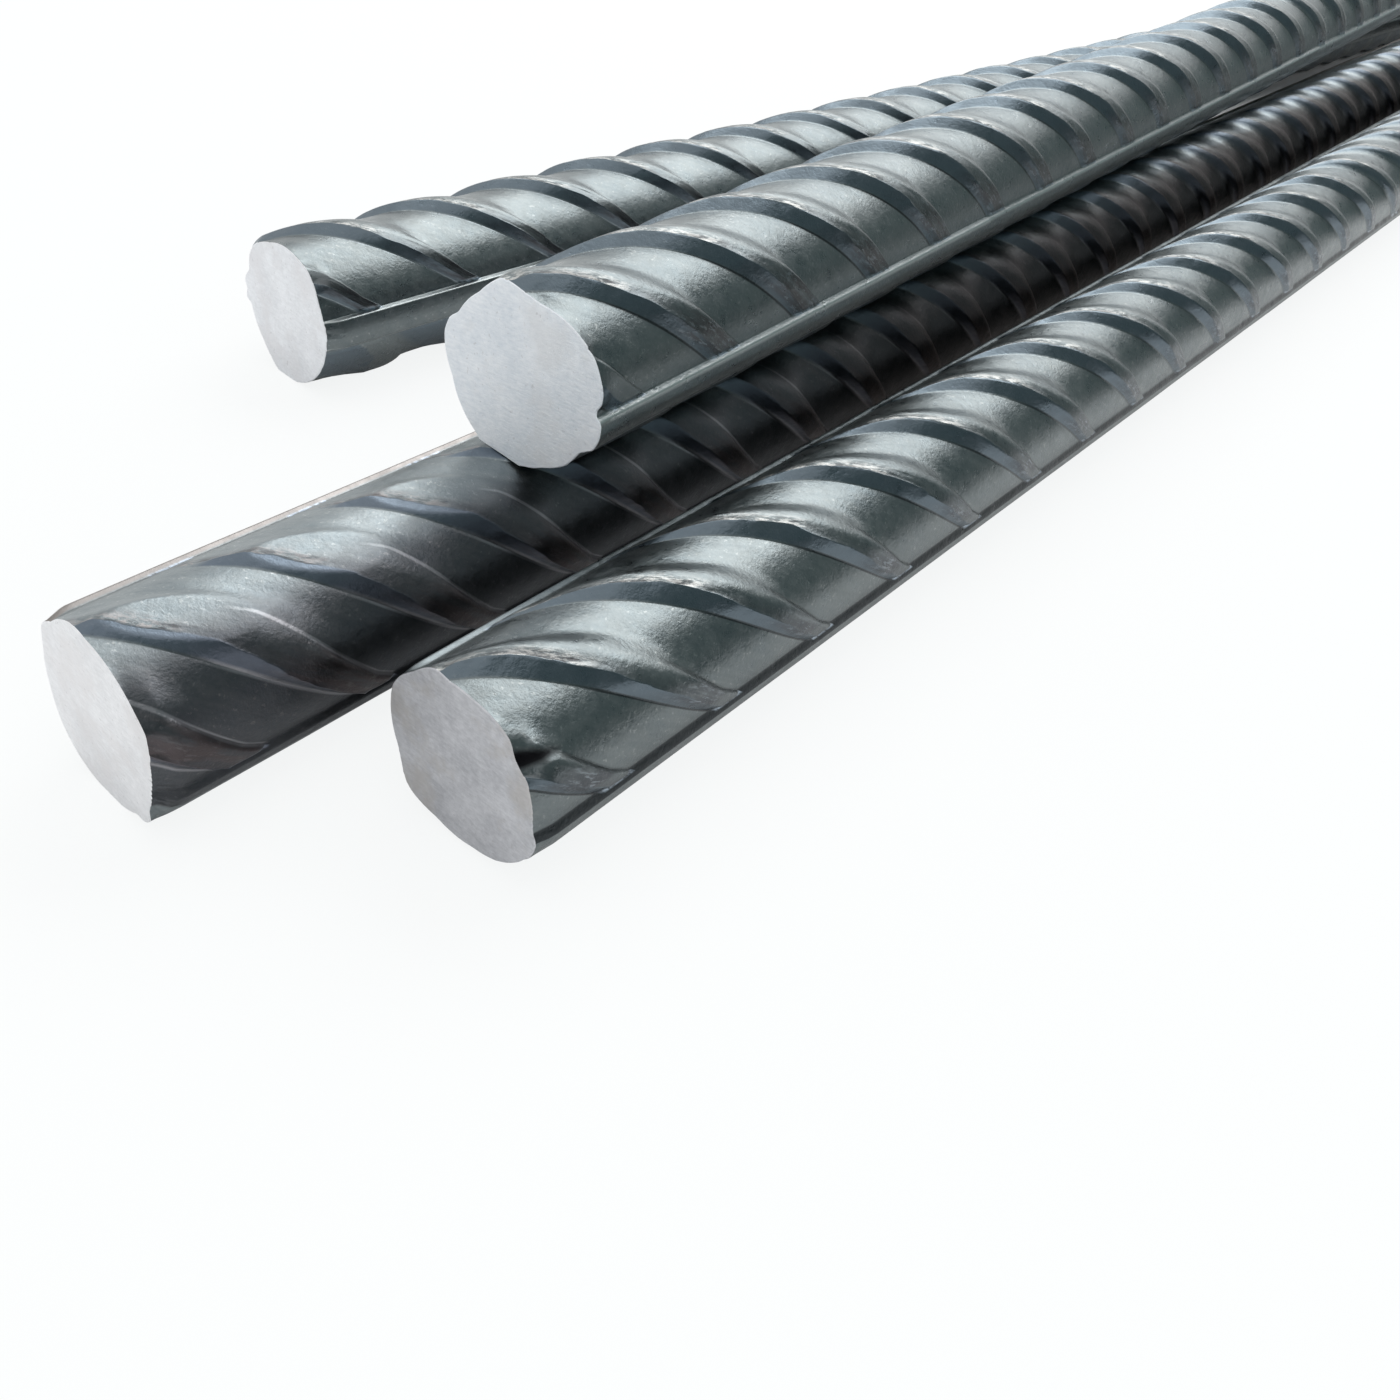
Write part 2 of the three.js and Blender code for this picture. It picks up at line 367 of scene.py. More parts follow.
def mesh_shares(stretch):
    """Places across one pitch: on a rib in mid-row as shares of its width, then past it."""
    near, crest, far, core = stretch["lines"]
    crest_end = NEAR_FLANK + CREST
    return np.concatenate([NEAR_FLANK * eased(near),
                           NEAR_FLANK + CREST * eased(crest),
                           crest_end + (1 - crest_end) * eased(far),
                           1 + eased(core)])


def longitudinal_height(bar, turn):
    """Height over the core of the two longitudinal ribs."""
    height = np.zeros_like(turn)
    top = CREST_RADIUS - CORE_RADIUS
    plain = (CREST_HALF_TURN, SIDE_TURN)
    low = (bar["low"], bar["ledge"], bar["ledge_under"], bar["crown"])
    high = (bar["high"], plain, plain, PLAIN_CROWN)
    for middle, above, under, crown in (low, high):
        away = (turn - middle + 180) % 360 - 180
        half, side = (np.where(away > 0, a, b) for a, b in zip(above, under))
        rise = (half + side - np.abs(away)) / side
        crowned = top + crown * np.clip(1 - (away / half) ** 2, 0, 1)
        crest = smooth_min(rise * top, crowned, CREST_ROUNDING)
        height = smooth_max(height, crest, FOOT_ROUNDING)
    return height


def rib_profile(share, near, far, fairing, stretch):
    """A rib's height across its width, from 0 to 1: near flank, crest, far flank. A step
    ends at the far foot, and a fairing runs on past it by stretch."""
    fall = np.clip((share - far) / (1 - far), 0, None)
    stepped = 1 - np.minimum(fall, 1) ** 4
    faired = (1 - np.minimum(fall / (1 + stretch), 1) ** 2) ** 2
    beyond = stepped + (faired - stepped) * fairing
    return np.clip(np.minimum(share / near, beyond), 0, 1)


def torn_top(across, run, rib, seed):
    """How far each place is torn away, from 0 to 1: flakes drawn out along the rib."""
    drawn = value_noise(across * 0.4 + rib * 17.0, run * 0.16 + across * 0.15, seed)
    flakes = value_noise(across * 0.9 + rib * 5.0, run * 0.36, seed + 1)
    chips = value_noise(across * 1.9, run * 1.0 + rib * 3.0, seed + 2)
    return smooth_step((0.45 * drawn + 0.35 * flakes + 0.2 * chips - 0.44) / 0.1)


def tear(along, turn):
    """The tear in the rim, from 0 outside it to 1 at its bottom."""
    left = 1 - np.clip(along, 0, None) / TEAR_LENGTH
    off = np.abs(turn - TEAR_TURN - TEAR_DRIFT * along)
    return smooth_step(TEAR_STEEPNESS * (left - off / TEAR_HALF_TURN))


def row_grid(row, stretch_number):
    """One stretch of a row: distances, turns, radii and marks of its grid of points."""
    stretch = STRETCHES[stretch_number]
    bar, seed = row.bar, row.bar["seed"]
    ribs = row.rib_numbers(stretch_number)
    shares = mesh_shares(stretch)
    turn = row.columns(stretch)
    foot, width, height = row.crossing(turn)
    near, far, fairing = row.form(turn, height)
    mesh_share = np.tile(shares, len(ribs))[:, None]
    rib = np.repeat(ribs, len(shares))[:, None]
    run = turn * math.radians(CORE_RADIUS)

    # The mesh lines of the crest follow the crest, which moves over towards the low rib.
    crest_end = NEAR_FLANK + CREST
    on_rib = mesh_share < 1
    share = np.where(mesh_share < NEAR_FLANK, mesh_share / NEAR_FLANK * near,
                     near + (mesh_share - NEAR_FLANK) / CREST * (far - near))
    past = far + (mesh_share - crest_end) / (1 - crest_end) * (1 - far)
    share = np.where(mesh_share > crest_end, past, share)

    # The near flank's edge strays a little, and the rest of the rib goes with it.
    stray = value_noise(run * 0.35 + rib * 7.3, rib * 1.0, seed + 5) - 0.5
    stray = stray + 0.5 * (value_noise(run * 1.2, rib * 3.7, seed + 6) - 0.5)
    moved = np.where(share < near, share / near, (1 - share) / (1 - near))
    across = (share + 2 * EDGE_WANDER * stray * moved) * width
    gap = bar["pitch"] - width
    across = np.where(on_rib, across, width + (mesh_share - 1) * gap)
    along = foot + rib * bar["pitch"] + across
    turn = np.broadcast_to(turn, along.shape)
    run = np.broadcast_to(run, along.shape)

    # The rib itself, ended at both ends of the row.
    profile = rib_profile(np.where(on_rib, share, across / width), near, far, fairing,
                          bar["stretch"])
    reach = row.end_reach(turn)
    ended = smooth_step(reach / RIB_DROP)
    lowness = row.lowness(turn)
    past_edge = smooth_step((share - near + 0.01) / 0.04)
    band = CREST_BAND + (far - near) * width * lowness
    on_crest = past_edge * (1 - smooth_step((share - near) * width / band)) * ended
    marked = row.upper * ((rib >= 0) | (not bar["plain_first"]))
    on_crest = np.where(on_rib, on_crest * marked, 0)
    # Painted shade: 1 on a bar's front side, falling to 0 further up, where its colour is
    # darkened.
    shaded_front = 1 - smooth_step((turn - SHADED_FRONT_TURNS[0]) / (SHADED_FRONT_TURNS[1] - SHADED_FRONT_TURNS[0]))
    torn = torn_top(across, run, rib, seed) * on_crest * (1 - TORN_LESS * shaded_front)
    level = HEIGHT_SPREAD * (value_noise(run * 0.12, rib * 1.7, seed + 7) - 0.5)
    rib_height = height * profile * ended * (1 + level) - TORN_DEPTH * torn
    rib_height = np.clip(rib_height, 0, None)

    # The core isn't quite round or straight.
    swell = SWELL * (value_noise(along * 0.045, run * 0.06, seed + 3) - 0.5)
    swell = swell + RIPPLE * (value_noise(along * 0.3, run * 0.3, seed + 4) - 0.5)
    ledge = longitudinal_height(bar, turn)
    radius = CORE_RADIUS + swell + smooth_max(ledge, rib_height, FOOT_ROUNDING)

    # flank marks the near flanks, which are painted darker and bluer as shade.
    flank = np.where(on_rib, smooth_step(profile * 6) * (1 - past_edge), 0) * ended
    flank = flank * smooth_step(2 * height)
    # tip marks the ends of the upper ribs for a painted highlight.
    tip = np.where(on_rib, smooth_step(profile * 2), 0) * smooth_step(reach / 0.8)
    tip = tip * (1 - smooth_step((reach - 2.5) / 1.5)) * row.upper
    past_low = row.past_low(turn)
    # ledge_side marks the low rib's side: painted shade on the front and middle bars, a painted
    # highlight on the back and top bars.
    side_start, side_end = bar["side"]
    ledge_side = (smooth_step((past_low - side_start) / SIDE_FADE)
                  * smooth_step((side_end - past_low) / SIDE_FADE))
    padded = smooth_step(share / 0.3) * (1 - smooth_step((share - 0.9) / 0.1))
    pad = np.where(on_rib, padded * smooth_step(1.6 * lowness - 0.3), 0) * ended
    pad = pad * smooth_step((past_low - bar["plain_tip"]) / PAD_FADE + 1) * marked
    strip = smooth_step((turn - row.end + CREST_HALF_TURN + SIDE_TURN) / 1.5) * row.upper
    line_apart = 0 if row.upper else NO_LINE
    grid = dict(along=along, turn=turn, radius=radius, crest=on_crest, torn=torn, flank=flank,
                tip=tip, tear=np.zeros_like(along), pad=pad, side=ledge_side, shaded_front=shaded_front,
                strip=strip, across=across + rib * RIB_APART, run=run,
                near_foot=np.minimum(np.abs(across), np.abs(bar["pitch"] - across)) + line_apart,
                far_foot=np.abs(across - width) + line_apart, past_low=past_low)
    if stretch_number == 0:
        shape_near_end(row, grid)
    return grid


def shape_near_end(row, grid):
    """Brings the rim to its outline at the near cut, and sinks the tear."""
    turn = grid["turn"][0]
    angles, radii = np.array(NEAR_OUTLINES[row.node]).T
    wanted = np.mean([np.interp(turn + d, angles, radii, period=360)
                      for d in (-OUTLINE_SOFTENING, 0, OUTLINE_SOFTENING)], axis=0)
    cut = AXES[row.node].near_cut_along(turn)
    columns = zip(cut, grid["along"].T, grid["radius"].T)
    found = np.array([np.interp(at, along, radius) for at, along, radius in columns])
    fade = 1 - smooth_step((grid["along"] - cut) / OUTLINE_REACH)
    grid["radius"] = grid["radius"] + fade * (wanted - found)
    if row.node == TEAR_BAR and row.upper:
        sunk = tear(grid["along"], grid["turn"])
        grid["tear"] = sunk
        inside = np.clip(grid["along"] / TEAR_SINKS, 0, 1)
        grid["radius"] = grid["radius"] - TEAR_DEPTH * sunk * inside


# ------------ building a bar's mesh
def new_object(name, data):
    made = bpy.data.objects.new(name, data)
    bpy.context.scene.collection.objects.link(made)
    return made


def grid_faces(rows, columns, offset):
    i, j = np.meshgrid(np.arange(rows - 1), np.arange(columns - 1), indexing="ij")
    a = offset + i * columns + j
    return np.stack([a, a + columns, a + columns + 1, a + 1], -1).reshape(-1, 4)


def strip_faces(left, right, order):
    """Triangles between two lines of points that run side by side."""
    faces = []
    i = j = 0
    while i < len(left) - 1 or j < len(right) - 1:
        step_left = j == len(right) - 1 or (
            i < len(left) - 1 and order[left[i + 1]] <= order[right[j + 1]])
        if step_left:
            faces.append((left[i], left[i + 1], right[j]))
            i += 1
        else:
            faces.append((left[i], right[j + 1], right[j]))
            j += 1
    return faces


def settle(node, points):
    """Flattens what would reach into the floor or into a bar that lies against this one."""
    points[:, 2] = np.maximum(points[:, 2], FLOOR_CLEARANCE)
    own = AXES[node]
    others = RESTS_ON.get(node, ()) + tuple(n for n, below in RESTS_ON.items() if node in below)
    for other in others:
        mine = own.offset(points)
        theirs = AXES[other].offset(points)
        reach = np.linalg.norm(mine, axis=1)
        room = np.linalg.norm(theirs, axis=1)
        halfway = (reach + room) / 2 - SEAT_CLEARANCE
        too_far = (reach > halfway) & (room < CORE_RADIUS + RIB_HEIGHT + BESIDE)
        radius = np.maximum(halfway, CORE_RADIUS - DEEPEST_DENT)
        scale = np.where(too_far, radius / reach, 1.0)
        points += mine * (scale - 1)[:, None]
    return points


MARKS = ("crest", "torn", "flank", "tip", "tear", "pad", "side", "shaded_front", "strip")
PLACES = dict(rolled=("across", "run", "along"), edges=("near_foot", "far_foot", "past_low"))


def bar_tube(node):
    """The open tube of a bar: points, faces and marks, running past both cuts."""
    rows = (Row(node, True), Row(node, False))
    grids = [[row_grid(row, n) for n in range(len(STRETCHES))] for row in rows]
    flat = {key: np.concatenate([grid[key].ravel() for row in grids for grid in row])
            for key in grids[0][0]}

    quads, strips, sides, offset = [], [], [], 0
    for row in grids:
        first_column, last_column, before = [], [], None
        for grid in row:
            lines, columns = grid["along"].shape
            index = offset + np.arange(lines * columns).reshape(lines, columns)
            quads.append(grid_faces(lines, columns, offset))
            if before is not None:
                strips += strip_faces(before, index[0].tolist(), flat["turn"])
            before = index[-1].tolist()
            first_column += index[:, 0].tolist()
            last_column += index[:, -1].tolist()
            offset += lines * columns
        sides.append((first_column, last_column))
    strips += strip_faces(sides[0][1], sides[1][0], flat["along"])
    strips += strip_faces(sides[1][1], sides[0][0], flat["along"])

    axis = AXES[node]
    inside = (flat["along"] > -END_SLACK) & (flat["along"] < axis.length + END_SLACK)
    quads = np.concatenate(quads)
    quads = quads[inside[quads].any(1)]
    tris = np.array(strips)
    tris = tris[inside[tris].any(1)]
    points = settle(node, axis.place(flat["along"], flat["turn"], flat["radius"]))
    return points, [*map(tuple, quads.tolist()), *map(tuple, tris.tolist())], flat


def cut_end(mesh, middle, outward, axis):
    """Cuts the tube square to outward, breaks the edge and closes it with a face."""
    away = Vector(outward)
    centre = Vector(middle * MM)
    plane = centre - away * EDGE_BREAK * MM
    geometry = [*mesh.verts, *mesh.edges, *mesh.faces]
    bmesh.ops.bisect_plane(mesh, geom=geometry, dist=1e-8, plane_co=plane, plane_no=away,
                           clear_outer=True)
    rim = [v for v in mesh.verts if v.is_boundary and abs((v.co - plane).dot(away)) < ON_PLANE]

    def angle(v):
        out = v.co - centre
        return math.atan2(out.dot(Vector(axis.above)), out.dot(Vector(axis.front)))

    rim.sort(key=angle)
    outline = []
    for v in rim:
        out = v.co - centre
        flat = out - away * out.dot(away)
        outline.append(flat - flat.normalized() * EDGE_BREAK * MM)

    def cut_face(corners, smooth):
        face = mesh.faces.new(corners)
        face.material_index = 1
        face.smooth = smooth

    ring = rim
    for number, share in enumerate(CUT_RINGS):
        made = [mesh.verts.new(centre + out * share) for out in outline]
        for k, v in enumerate(ring):
            after = (k + 1) % len(ring)
            cut_face((v, ring[after], made[after], made[k]), number > 0)
        ring = made
    hub = mesh.verts.new(centre)
    for k, v in enumerate(ring):
        cut_face((v, ring[(k + 1) % len(ring)], hub), True)


def build_bar(node):
    points, faces, marks = bar_tube(node)
    data = bpy.data.meshes.new(node + "_surface")
    data.from_pydata((points * MM).tolist(), [], faces)
    for name in MARKS:
        layer = data.attributes.new(name, "FLOAT", "POINT")
        layer.data.foreach_set("value", marks[name].astype(np.float32))
    for name, parts in PLACES.items():
        layer = data.attributes.new(name, "FLOAT_VECTOR", "POINT")
        place = np.stack([marks[part] for part in parts], -1) * MM
        layer.data.foreach_set("vector", place.astype(np.float32).ravel())

    mesh = bmesh.new()
    mesh.from_mesh(data)
    loose = [v for v in mesh.verts if not v.link_faces]
    bmesh.ops.delete(mesh, geom=loose, context="VERTS")
    for face in mesh.faces:
        face.smooth = True
    axis = AXES[node]
    cut_end(mesh, axis.near, -axis.near_cut, axis)
    cut_end(mesh, axis.far, axis.along, axis)
    bmesh.ops.recalc_face_normals(mesh, faces=mesh.faces)
    for edge in mesh.edges:
        if len({face.material_index for face in edge.link_faces}) > 1:
            edge.smooth = False
    mesh.to_mesh(data)
    mesh.free()
    return new_object(node + "_rolled", data)


# ------------ materials
def new_material(name):
    material = bpy.data.materials.new(name)
    material.use_nodes = True
    tree = material.node_tree
    tree.nodes.clear()
    return material, tree


def finish_material(tree, shader):
    add(tree, "OutputMaterial", {"Surface": shader.outputs[0]})


def add(tree, kind, inputs=None, **settings):
    """A shader node with its settings and inputs, which are values or nodes' sockets."""
    node = tree.nodes.new("ShaderNode" + kind)
    for name, value in settings.items():
        setattr(node, name, value)
    for name, value in (inputs or {}).items():
        socket = node.inputs[name]
        if isinstance(value, bpy.types.NodeSocket):
            tree.links.new(value, socket)
        else:
            socket.default_value = (*value, 1) if socket.type == "RGBA" else value
    return node


def noise(tree, place, scale, detail, roughness=0.55):
    return add(tree, "TexNoise",
               {"Vector": place, "Scale": scale, "Detail": detail, "Roughness": roughness,
                "Distortion": 0.0}).outputs["Fac"]


def remap(tree, value, low, high, to_low=0.0, to_high=1.0):
    return add(tree, "MapRange",
               {"Value": value, "From Min": low, "From Max": high, "To Min": to_low,
                "To Max": to_high}).outputs["Result"]


def math_node(tree, operation, a, b):
    return add(tree, "Math", {0: a, 1: b}, operation=operation).outputs[0]


def times(tree, a, b):
    return math_node(tree, "MULTIPLY", a, b)


def plus(tree, a, b):
    return math_node(tree, "ADD", a, b)


def mix_colour(tree, share, a, b):
    return add(tree, "Mix", {0: share, 6: a, 7: b}, data_type="RGBA").outputs[2]


def times_colour(tree, a, b):
    return add(tree, "VectorMath", {0: a, 1: b}, operation="MULTIPLY").outputs[0]


def parts(tree, vector):
    return add(tree, "SeparateXYZ", {"Vector": vector}).outputs


def stretched(tree, source, scale):
    return add(tree, "Mapping", {"Vector": source, "Scale": scale}).outputs["Vector"]


FULL = (1, 1, 1)               # colours are linear red, green and blue
SCALE_DARK = (0.115, 0.141, 0.152)
SCALE_LIGHT = (0.235, 0.258, 0.258)
SCALE_FLECK = (0.44, 0.46, 0.45)
FLANK_SHADE = (0.120, 0.155, 0.185)
STRIP_EDGE = (0.55, 0.53, 0.51)         # of the high rib, nearly edge on
CREST_BARE = (0.56, 0.56, 0.54)
CREST_STAIN = (0.060, 0.056, 0.058)
CREASE_SHADE = (0.020, 0.022, 0.025)
FOOT_HIGHLIGHT = (0.30, 0.34, 0.36)
EDGE_HIGHLIGHT = (0.58, 0.62, 0.62)
TIP_HIGHLIGHT = (0.40, 0.47, 0.54)
CREST_SHADE = (0.070, 0.076, 0.086)
TEAR_SHADE = (0.012, 0.012, 0.014)
CUT_PIT = (0.30, 0.29, 0.29)
CUT_FAR = (0.33, 0.34, 0.36)
CUT_FAR_SHARE = 0.45           # of it on the far cut faces, which get more light
CUT_FAR_FROM = (0.0, 0.4)      # m along X, from where it starts to where it is full
LINES_FADE = (0.10, 0.25)      # m along a bar, where the lines along the ribs' feet fade
FAR_LINE_WIDTH = 0.0006        # m, half the line
# Degrees past the low rib's foot, scaled down by MM as the whole edges mark is: where the
# lines start, where a near line is gone and where it is full, and how long a far one fades.
LINES_START = (-1 * MM, 1 * MM)
NEAR_LINE_ENDS = (75 * MM, 55 * MM)
FAR_LINE_FADE = 18 * MM
FAR_DIMMED = (0.12, 0.19)      # m along a bar, where the painted shade of its front side deepens to its far shade
ROUGHNESS = (0.25, 0.42)       # of plain scale, from place to place
WORN_ROUGHER, TEAR_ROUGHER = 0.16, 0.4     # what worn crests and the tear add to it
FINE_BUMP, BROAD_BUMP, TORN_BUMP = 0.0003, 0.0008, 0.0006      # m, how high the bumps are
CUT_METALLIC, CUT_ROUGHNESS = 0.35, 0.5


def line(tree, distance, half_width):
    """1 on a line and 0 beyond its half width, from the distance to it in metres."""
    return remap(tree, distance, half_width * 0.4, half_width, 1.0, 0.0)


def mill_scale(name, shades, far_shade, flank_colours, bare_colour, crest_stop, pad_colours,
               foot_line, line_width, far_line_stop, far_line_share, ledge_side, ledge_share,
               strip_colour, dulled):
    """Blue-grey mill scale, worn and torn on the rib crests, with painted light and shade. LOOKS
    says what its values are.
    """
    material, tree = new_material(name)
    place = add(tree, "TexCoord").outputs["Object"]
    rolled, edges = (add(tree, "Attribute", attribute_name=name).outputs["Vector"]
                     for name in PLACES)
    near_foot, far_foot, past_low = parts(tree, edges)
    _, _, along = parts(tree, rolled)
    crest, torn, flank, tip, tear_mark, pad, side, shaded_front, strip = (
        add(tree, "Attribute", attribute_name=name).outputs["Fac"] for name in MARKS)

    clouds = noise(tree, place, 60, 4)
    mottle = noise(tree, place, 380, 4, 0.65)
    speck = noise(tree, place, 1500, 3, 0.65)
    dots = noise(tree, place, 1100, 3, 0.6)
    streak = noise(tree, stretched(tree, rolled, (520, 110, 60)), 1.0, 4, 0.65)
    patch = noise(tree, stretched(tree, rolled, (420, 170, 0)), 1.0, 4, 0.65)
    flake = noise(tree, stretched(tree, rolled, (760, 460, 0)), 1.0, 4, 0.74)

    # Plain scale, and the near flanks painted darker and bluer as shade.
    tone = plus(tree, remap(tree, clouds, 0.3, 0.7, 0, 0.3), remap(tree, mottle, 0.3, 0.7, 0, 0.3))
    tone = plus(tree, tone, remap(tree, streak, 0.3, 0.7, 0, 0.25))
    tone = plus(tree, tone, remap(tree, speck, 0.35, 0.65, 0, 0.15))
    colour = mix_colour(tree, tone, SCALE_DARK, SCALE_LIGHT)
    fleck = times(tree, remap(tree, dots, 0.60, 0.68), remap(tree, streak, 0.40, 0.60))
    colour = mix_colour(tree, times(tree, fleck, 0.45), colour, SCALE_FLECK)
    flank_colour = mix_colour(tree, shaded_front, *flank_colours)
    colour = mix_colour(tree, times(tree, flank, 0.8), colour, flank_colour)

    # Crests: painted shade low down on the front side, and elsewhere worn bare between chips of
    # scale.
    worn = times(tree, crest, remap(tree, shaded_front, *crest_stop, 1.0, 0.0))
    shaded_crest = math_node(tree, "SUBTRACT", crest, worn)
    colour = mix_colour(tree, times(tree, shaded_crest, 0.35), colour, CREST_SHADE)
    chips = times(tree, worn, times(tree, remap(tree, flake, 0.47, 0.41),
                                    remap(tree, shaded_front, 0, 0.2, 0.4, 1.0)))
    colour = mix_colour(tree, chips, colour, CREST_STAIN)
    bare = times(tree, worn, remap(tree, flake, 0.48, 0.53))
    colour = mix_colour(tree, times(tree, bare, 0.85), colour, bare_colour)
    stain = times(tree, torn, remap(tree, patch, 0.54, 0.46))
    colour = mix_colour(tree, times(tree, stain, 0.7), colour, CREST_STAIN)

    # The pads, where slanted ribs meet the low rib.
    pad_colour = mix_colour(tree, remap(tree, flake, 0.53, 0.60), *pad_colours)
    pad_share = times(tree, pad, remap(tree, patch, 0.40, 0.54, 0.2, 0.85))
    colour = mix_colour(tree, pad_share, colour, pad_colour)

    # The lines along the slanted ribs' feet: painted crease shade where dark and painted
    # highlights where pale.
    near_line = times(tree, line(tree, near_foot, line_width),
                      remap(tree, past_low, *NEAR_LINE_ENDS))
    far_line = times(tree, line(tree, far_foot, FAR_LINE_WIDTH),
                     remap(tree, past_low, far_line_stop + FAR_LINE_FADE, far_line_stop))
    far_line = times(tree, far_line, far_line_share)
    lines = times(tree, math_node(tree, "MAXIMUM", near_line, far_line),
                  remap(tree, past_low, *LINES_START))
    lines = times(tree, lines, remap(tree, along, *LINES_FADE, 1.0, 0.3))
    colour = mix_colour(tree, times(tree, lines, 0.75), colour, foot_line)

    # The low rib's side, with painted shade on the front and middle bars and a painted highlight
    # on the others, the ends of the slanted ribs, the high rib and the tear.
    colour = mix_colour(tree, times(tree, side, ledge_share), colour, ledge_side)
    # A painted highlight on the ends of the upper ribs.
    tip_highlight = times(tree, tip, remap(tree, flake, 0.42, 0.52))
    colour = mix_colour(tree, times(tree, tip_highlight, 0.9), colour, TIP_HIGHLIGHT)
    colour = mix_colour(tree, strip, colour, strip_colour)
    # Painted shade in the sunk tear.
    colour = mix_colour(tree, tear_mark, colour, TEAR_SHADE)

    # Painted light and shade, as each bar's look gives it: lighter on the upper side, darker on
    # the front side, and darker still there further along, in the reflections too.
    far = times(tree, remap(tree, along, *FAR_DIMMED), remap(tree, shaded_front, 0, 0.35))
    far_colour = mix_colour(tree, far, FULL, far_shade)
    colour = times_colour(tree, colour, mix_colour(tree, shaded_front, *shades))
    colour = times_colour(tree, colour, far_colour)

    roughness = remap(tree, mottle, 0.3, 0.7, *(dulled + rough for rough in ROUGHNESS))
    roughness = plus(tree, roughness, times(tree, worn, WORN_ROUGHER))
    roughness = plus(tree, roughness, times(tree, tear_mark, TEAR_ROUGHER))

    fine = add(tree, "Bump",
               {"Height": speck, "Strength": remap(tree, strip, 0, 1, 0.25, 0.05),
                "Distance": FINE_BUMP})
    broad = add(tree, "Bump",
                {"Height": mottle, "Strength": remap(tree, strip, 0, 1, 0.14, 0.03),
                 "Distance": BROAD_BUMP, "Normal": fine.outputs["Normal"]})
    rough = plus(tree, times(tree, patch, 0.7), times(tree, flake, 0.5))
    dragged = add(tree, "Bump",
                  {"Height": times(tree, rough, worn), "Strength": 0.5, "Distance": TORN_BUMP,
                   "Normal": broad.outputs["Normal"]})
    shader = add(tree, "BsdfPrincipled",
                 {"Base Color": colour, "Metallic": 1.0, "Roughness": roughness,
                  "Specular Tint": mix_colour(tree, strip, far_colour, STRIP_EDGE),
                  "Normal": dragged.outputs["Normal"]})
    finish_material(tree, shader)
    return material


def cut_steel(name, dark, light, warm):
    """A sheared face: pale, with fine slanted scratches and specks."""
    material, tree = new_material(name)
    place = add(tree, "TexCoord").outputs["Object"]
    scratch = noise(tree, stretched(tree, place, (300, 550, 2100)), 1.0, 4, 0.7)
    blotch = noise(tree, place, 140, 5, 0.65)
    speck = noise(tree, place, 1000, 3, 0.65)
    tone = plus(tree, remap(tree, blotch, 0.35, 0.65, 0, 0.4),
                remap(tree, speck, 0.35, 0.65, 0, 0.25))
    tone = plus(tree, tone, remap(tree, scratch, 0.35, 0.65, 0, 0.35))
    colour = mix_colour(tree, tone, dark, light)
    patch = noise(tree, place, 95, 4, 0.6)
    colour = mix_colour(tree, remap(tree, patch, 0.5, 0.64, 0, 0.6), colour, warm)
    pit = noise(tree, place, 1300, 2, 0.5)
    colour = mix_colour(tree, remap(tree, pit, 0.66, 0.74, 0, 0.25), colour, CUT_PIT)
    lengthwise, _, _ = parts(tree, place)
    far_share = remap(tree, lengthwise, *CUT_FAR_FROM, 0, CUT_FAR_SHARE)
    colour = mix_colour(tree, far_share, colour, CUT_FAR)
    grain = plus(tree, times(tree, scratch, 0.8), times(tree, speck, 0.5))
    bump = add(tree, "Bump", {"Height": grain, "Strength": 0.4, "Distance": FINE_BUMP})
    shader = add(tree, "BsdfPrincipled",
                 {"Base Color": colour, "Metallic": CUT_METALLIC, "Roughness": CUT_ROUGHNESS,
                  "Normal": bump.outputs["Normal"]})
    finish_material(tree, shader)
    return material


# ------------ the bars
# Each bar's look. shades are what its colour is multiplied by on its upper side and on
# its front side, as painted light above and painted shade in front, and far_shade is the
# same painted shade, deeper, for the front side further along. flank_colours are the
# painted shade of the near flanks on these two sides. bare_colour is that of bare crests,
# and crest_stop is how deep in the front side's painted shade they start to end and have
# ended. pad_colours are those of the pads, scale and flakes. foot_line is the colour of the
# lines along the slanted ribs' feet, painted crease shade where dark and a painted highlight
# where pale, and line_width is half the width of those on the near side. far_line_stop is
# how far past the low rib those on the far side are whole, as the edges mark has it, and
# far_line_share is how strong they are. ledge_side and ledge_share are the colour of the low
# rib's marked side, painted shade where dark and a painted highlight where pale, and its
# share, and strip_colour is that of the high rib. dulled is added to the roughness. Then the
# cut faces: dark, light and warm.
PLAIN_LOOK = dict(shades=(FULL, FULL), far_shade=FULL, flank_colours=(FLANK_SHADE, FLANK_SHADE),
                  bare_colour=CREST_BARE, line_width=0.0005, far_line_stop=32 * MM,
                  far_line_share=0.5, dulled=0.0)
